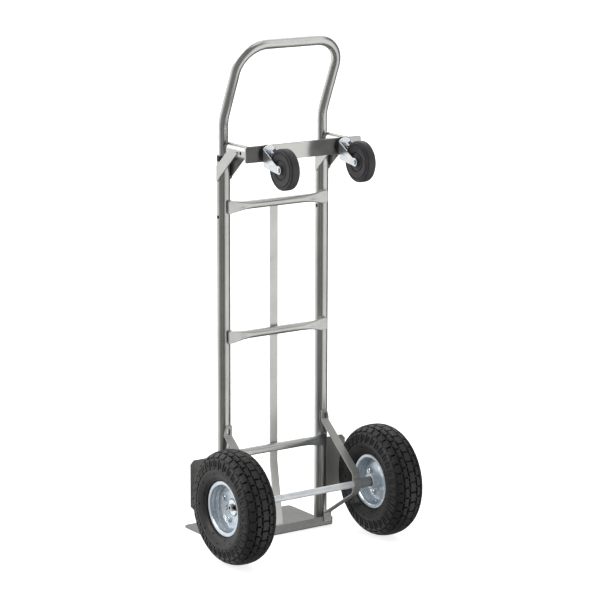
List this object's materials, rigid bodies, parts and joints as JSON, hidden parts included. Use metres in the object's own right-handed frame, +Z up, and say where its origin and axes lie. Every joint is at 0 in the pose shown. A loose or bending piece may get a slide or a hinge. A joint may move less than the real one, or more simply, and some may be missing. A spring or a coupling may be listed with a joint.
{
  "type": "convertible hand truck",
  "caption": "Convertible tubular hand truck with a loop handle that slides in the rails, pneumatic main wheels, a toe plate and swivel casters on a rear beam.",
  "frame": {"origin": "on the ground, under the middle of the line between the two upright rails, in the underside of the toe plate", "axes": "+X along the main axle to the truck's right seen from behind, +Y forward over the toe plate, +Z up"},
  "size_m": [0.486, 0.4265, 1.161],
  "materials": {
    "frame_paint": "silver grey metallic powder coat, satin",
    "zinc_hardware": "bright zinc plate",
    "zinc_rim": "bright zinc plated pressed steel",
    "zinc_fork": "bright zinc plated pressed steel",
    "spring_steel": "plain spring and bearing steel",
    "dark_steel": "blackened steel wire",
    "black_steel": "black painted pressed steel, semi gloss",
    "black_plastic": "moulded black plastic",
    "tyre_rubber": "black moulded rubber, matte",
    "inner_tube_rubber": "black butyl rubber",
    "caster_rubber": "dark grey moulded rubber, satin"
  },
  "bodies": {
    "frame": {"left_rail": "frame_paint", "right_rail": "frame_paint", "top_crossbar": "frame_paint", "middle_crossbar": "frame_paint", "bottom_crossbar": "frame_paint", "centre_strap": "frame_paint", "toe_plate": "frame_paint", "left_wheel_guard": "frame_paint", "right_wheel_guard": "frame_paint", "left_axle_bracket": "frame_paint", "right_axle_bracket": "frame_paint", "axle": "zinc_hardware", "axle_spacers": "frame_paint", "axle_washers": "zinc_hardware", "cotter_pins": "dark_steel", "left_socket_tube": "frame_paint", "right_socket_tube": "frame_paint", "left_gussets": "frame_paint", "right_gussets": "frame_paint", "caster_beam": "frame_paint", "rail_collars": "black_plastic", "socket_collars": "black_plastic", "kingpins": "zinc_hardware", "kingpin_nuts": "zinc_hardware", "kingpin_washers": "zinc_hardware", "raceways": "black_steel"},
    "handle": {"handle_tube": "frame_paint", "snap_springs": "spring_steel"},
    "left_button": {"left_snap_button": "dark_steel"},
    "right_button": {"right_snap_button": "dark_steel"},
    "left_wheel": {"left_tyre": "tyre_rubber", "left_inner_tube": "inner_tube_rubber", "left_outer_rim": "zinc_rim", "left_inner_rim": "zinc_rim", "left_hub": "zinc_rim", "left_bearings": "spring_steel", "left_rim_bolts": "zinc_hardware", "left_rim_nuts": "zinc_hardware"},
    "right_wheel": {"right_tyre": "tyre_rubber", "right_inner_tube": "inner_tube_rubber", "right_outer_rim": "zinc_rim", "right_inner_rim": "zinc_rim", "right_hub": "zinc_rim", "right_bearings": "spring_steel", "right_rim_bolts": "zinc_hardware", "right_rim_nuts": "zinc_hardware"},
    "left_caster_swivel": {"left_fork": "zinc_fork", "left_swivel_cup": "black_steel", "left_caster_rivet": "zinc_hardware", "left_caster_bush": "zinc_hardware"},
    "right_caster_swivel": {"right_fork": "zinc_fork", "right_swivel_cup": "black_steel", "right_caster_rivet": "zinc_hardware", "right_caster_bush": "zinc_hardware"},
    "left_caster_roller": {"left_caster_wheel": "caster_rubber"},
    "right_caster_roller": {"right_caster_wheel": "caster_rubber"}
  },
  "joints": [
    {"name": "handle_lift", "type": "slide", "parent": "frame", "child": "handle", "axis": [0, 0, 1], "range_m": [0, 0.2]},
    {"name": "left_button_press", "type": "slide", "parent": "handle", "child": "left_button", "axis": [-1, 0, 0], "range_m": [0, 0.006]},
    {"name": "right_button_press", "type": "slide", "parent": "handle", "child": "right_button", "axis": [1, 0, 0], "range_m": [0, 0.006]},
    {"name": "left_wheel_spin", "type": "hinge", "parent": "frame", "child": "left_wheel", "pos_m": [-0.2015, -0.1445, 0.13], "axis": [1, 0, 0], "continuous": true},
    {"name": "right_wheel_spin", "type": "hinge", "parent": "frame", "child": "right_wheel", "pos_m": [0.2015, -0.1445, 0.13], "axis": [1, 0, 0], "continuous": true},
    {"name": "left_caster_turn", "type": "hinge", "parent": "frame", "child": "left_caster_swivel", "pos_m": [-0.1015, -0.137, 0.916], "axis": [0, 1, 0], "continuous": true},
    {"name": "right_caster_turn", "type": "hinge", "parent": "frame", "child": "right_caster_swivel", "pos_m": [0.1015, -0.137, 0.916], "axis": [0, 1, 0], "continuous": true},
    {"name": "left_caster_spin", "type": "hinge", "parent": "left_caster_swivel", "child": "left_caster_roller", "pos_m": [-0.1015, -0.196, 0.89], "axis": [1, 0, 0], "continuous": true},
    {"name": "right_caster_spin", "type": "hinge", "parent": "right_caster_swivel", "child": "right_caster_roller", "pos_m": [0.1015, -0.196, 0.89], "axis": [1, 0, 0], "continuous": true}
  ]
}
